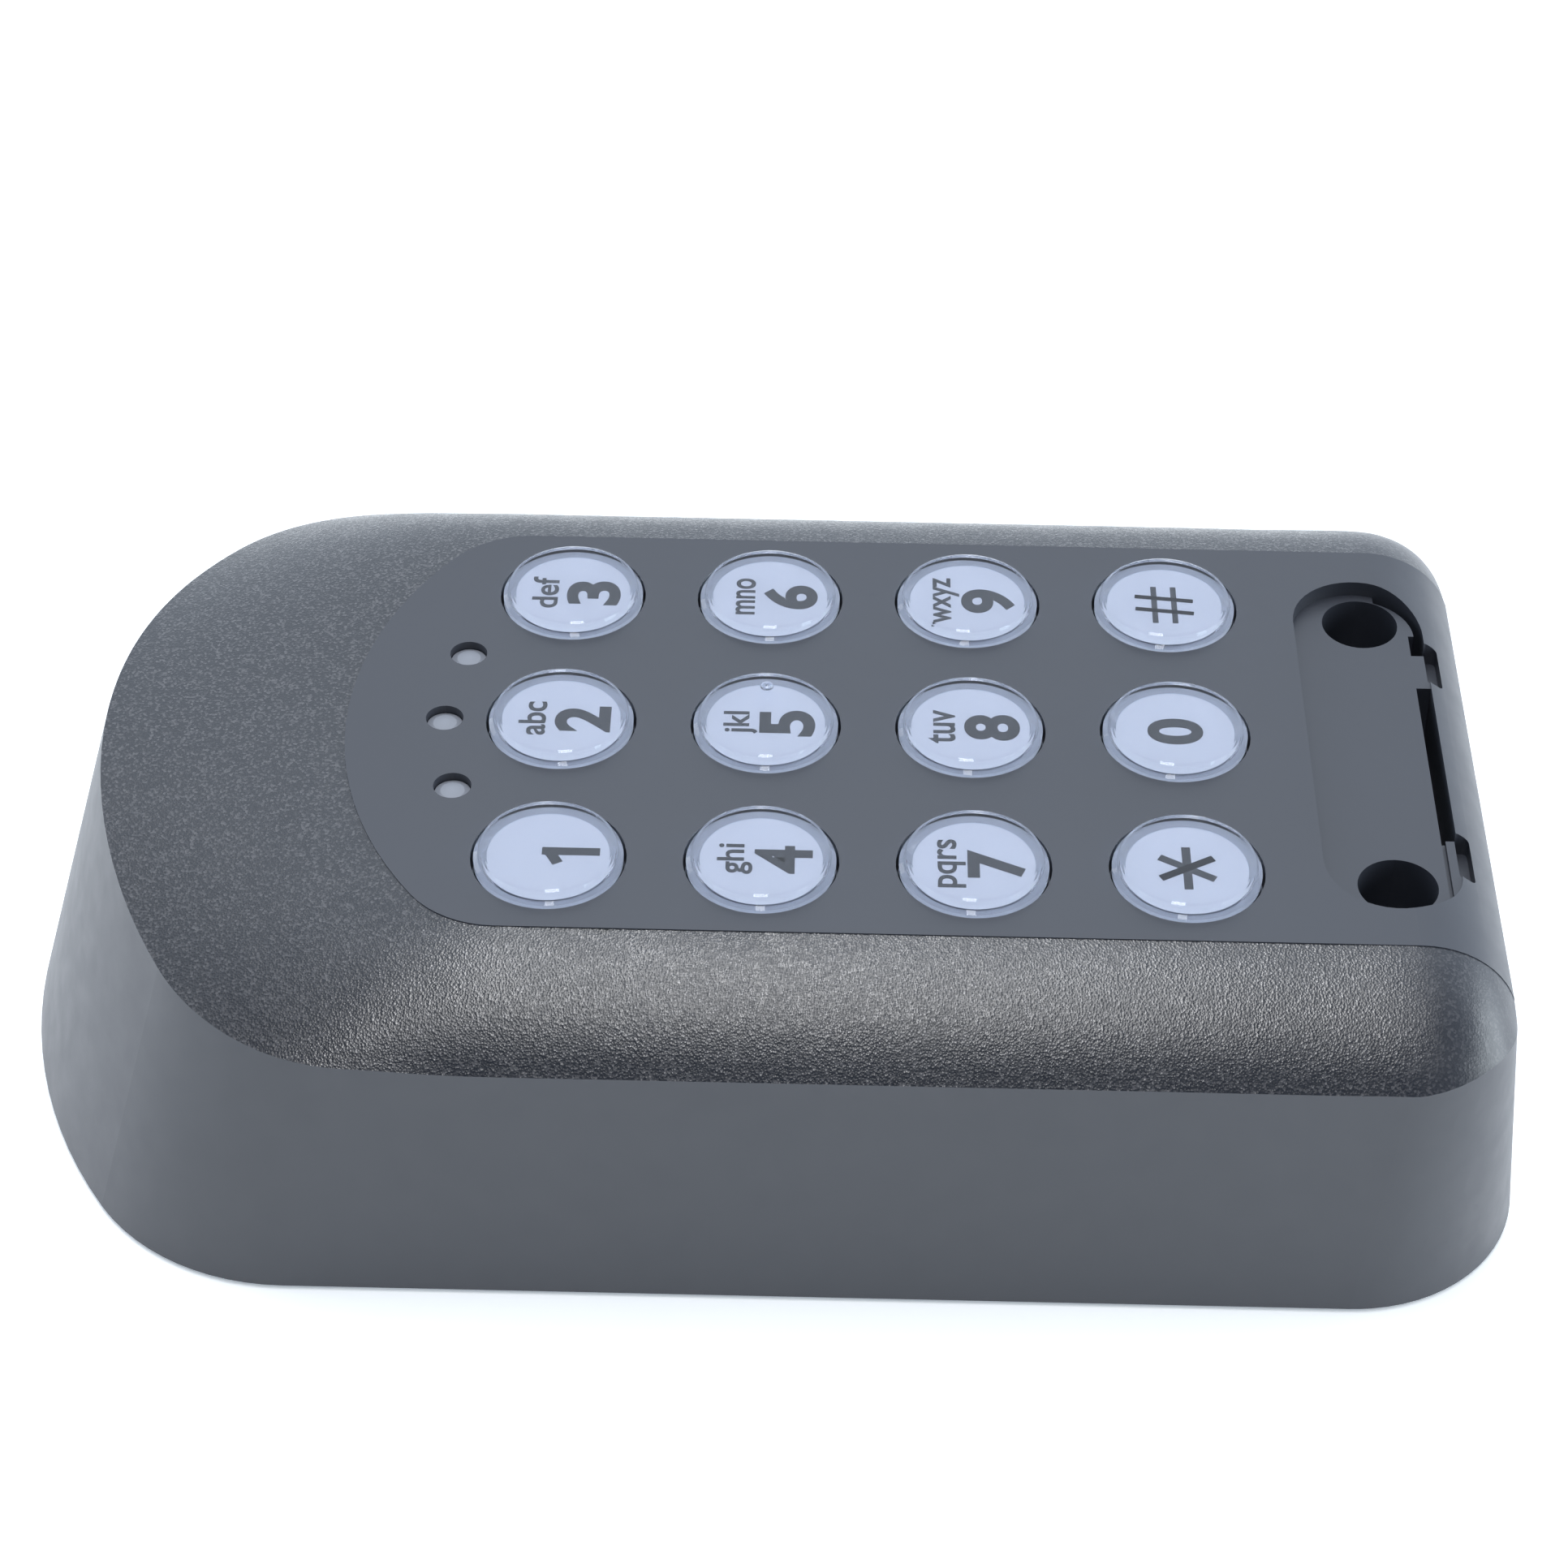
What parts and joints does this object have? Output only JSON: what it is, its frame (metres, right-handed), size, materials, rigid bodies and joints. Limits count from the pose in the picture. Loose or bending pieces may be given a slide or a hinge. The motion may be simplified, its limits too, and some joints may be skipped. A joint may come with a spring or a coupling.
{
  "type": "alarm keypad panel",
  "caption": "Wall-mounted alarm keypad with a rounded end, a smooth key panel with clear push keys, indicator lights and a screw recess.",
  "frame": {"origin": "centre of the back face, on the wall plane", "axes": "+Z out of the key face, +Y towards the rounded end with the indicator lights, +X towards the right-hand key column"},
  "size_m": [0.0832, 0.1404, 0.0341],
  "materials": {
    "housing": "satin metallic grey moulding, fine sparkle texture outside the smooth key panel",
    "rear_plastic": "matte",
    "seal_rubber": "matte",
    "silicone": "matte",
    "board": "solder mask",
    "gold_pads": "plated",
    "emitters": "clear epoxy",
    "light_guide": "diffusing",
    "chip_black": "matte",
    "tinned_can": "satin",
    "steel": "zinc plated",
    "capacitor_sleeve": "gloss",
    "holder_black": "matte",
    "cell_jacket": "gloss",
    "white_plastic": "matte",
    "key_clear": "clear polished",
    "key_white": "satin"
  },
  "bodies": {
    "housing": {"front_cover": "housing", "rear_plate": "rear_plastic", "cover_seal": "seal_rubber", "keypad_mat": "silicone", "pcb": "board", "contact_pads": "gold_pads", "status_leds": "emitters", "led_lenses": "light_guide", "backlight_leds": "emitters", "mcu_chip": "chip_black", "driver_chip": "chip_black", "radio_module": "tinned_can", "antenna": "steel", "buzzer": "chip_black", "capacitor": "capacitor_sleeve", "battery_holder": "holder_black", "battery_cells": "cell_jacket", "battery_contacts": "steel", "cover_screws": "steel", "board_screws": "steel", "tamper_switch": "holder_black", "tamper_spring": "steel"},
    "key_1": {"key_1_cap": "key_clear", "key_1_core": "key_white"},
    "key_2": {"key_2_cap": "key_clear", "key_2_core": "key_white"},
    "key_3": {"key_3_cap": "key_clear", "key_3_core": "key_white"},
    "key_4": {"key_4_cap": "key_clear", "key_4_core": "key_white"},
    "key_5": {"key_5_cap": "key_clear", "key_5_core": "key_white"},
    "key_6": {"key_6_cap": "key_clear", "key_6_core": "key_white"},
    "key_7": {"key_7_cap": "key_clear", "key_7_core": "key_white"},
    "key_8": {"key_8_cap": "key_clear", "key_8_core": "key_white"},
    "key_9": {"key_9_cap": "key_clear", "key_9_core": "key_white"},
    "key_star": {"key_star_cap": "key_clear", "key_star_core": "key_white"},
    "key_0": {"key_0_cap": "key_clear", "key_0_core": "key_white"},
    "key_hash": {"key_hash_cap": "key_clear", "key_hash_core": "key_white"},
    "tamper_pin": {"tamper_plunger": "white_plastic"}
  },
  "joints": [
    {"name": "press_1", "type": "slide", "parent": "housing", "child": "key_1", "axis": [0, 0, -1], "range_m": [0, 0.0008], "stiffness_N_per_m": 300, "springref_m": -0.001, "deforming": ["keypad_mat"]},
    {"name": "press_2", "type": "slide", "parent": "housing", "child": "key_2", "axis": [0, 0, -1], "range_m": [0, 0.0008], "stiffness_N_per_m": 300, "springref_m": -0.001, "deforming": ["keypad_mat"]},
    {"name": "press_3", "type": "slide", "parent": "housing", "child": "key_3", "axis": [0, 0, -1], "range_m": [0, 0.0008], "stiffness_N_per_m": 300, "springref_m": -0.001, "deforming": ["keypad_mat"]},
    {"name": "press_4", "type": "slide", "parent": "housing", "child": "key_4", "axis": [0, 0, -1], "range_m": [0, 0.0008], "stiffness_N_per_m": 300, "springref_m": -0.001, "deforming": ["keypad_mat"]},
    {"name": "press_5", "type": "slide", "parent": "housing", "child": "key_5", "axis": [0, 0, -1], "range_m": [0, 0.0008], "stiffness_N_per_m": 300, "springref_m": -0.001, "deforming": ["keypad_mat"]},
    {"name": "press_6", "type": "slide", "parent": "housing", "child": "key_6", "axis": [0, 0, -1], "range_m": [0, 0.0008], "stiffness_N_per_m": 300, "springref_m": -0.001, "deforming": ["keypad_mat"]},
    {"name": "press_7", "type": "slide", "parent": "housing", "child": "key_7", "axis": [0, 0, -1], "range_m": [0, 0.0008], "stiffness_N_per_m": 300, "springref_m": -0.001, "deforming": ["keypad_mat"]},
    {"name": "press_8", "type": "slide", "parent": "housing", "child": "key_8", "axis": [0, 0, -1], "range_m": [0, 0.0008], "stiffness_N_per_m": 300, "springref_m": -0.001, "deforming": ["keypad_mat"]},
    {"name": "press_9", "type": "slide", "parent": "housing", "child": "key_9", "axis": [0, 0, -1], "range_m": [0, 0.0008], "stiffness_N_per_m": 300, "springref_m": -0.001, "deforming": ["keypad_mat"]},
    {"name": "press_star", "type": "slide", "parent": "housing", "child": "key_star", "axis": [0, 0, -1], "range_m": [0, 0.0008], "stiffness_N_per_m": 300, "springref_m": -0.001, "deforming": ["keypad_mat"]},
    {"name": "press_0", "type": "slide", "parent": "housing", "child": "key_0", "axis": [0, 0, -1], "range_m": [0, 0.0008], "stiffness_N_per_m": 300, "springref_m": -0.001, "deforming": ["keypad_mat"]},
    {"name": "press_hash", "type": "slide", "parent": "housing", "child": "key_hash", "axis": [0, 0, -1], "range_m": [0, 0.0008], "stiffness_N_per_m": 300, "springref_m": -0.001, "deforming": ["keypad_mat"]},
    {"name": "tamper_release", "type": "slide", "parent": "housing", "child": "tamper_pin", "axis": [0, 0, -1], "range_m": [0, 0.0015], "stiffness_N_per_m": 50, "springref_m": 0.003, "deforming": ["tamper_spring"]}
  ]
}
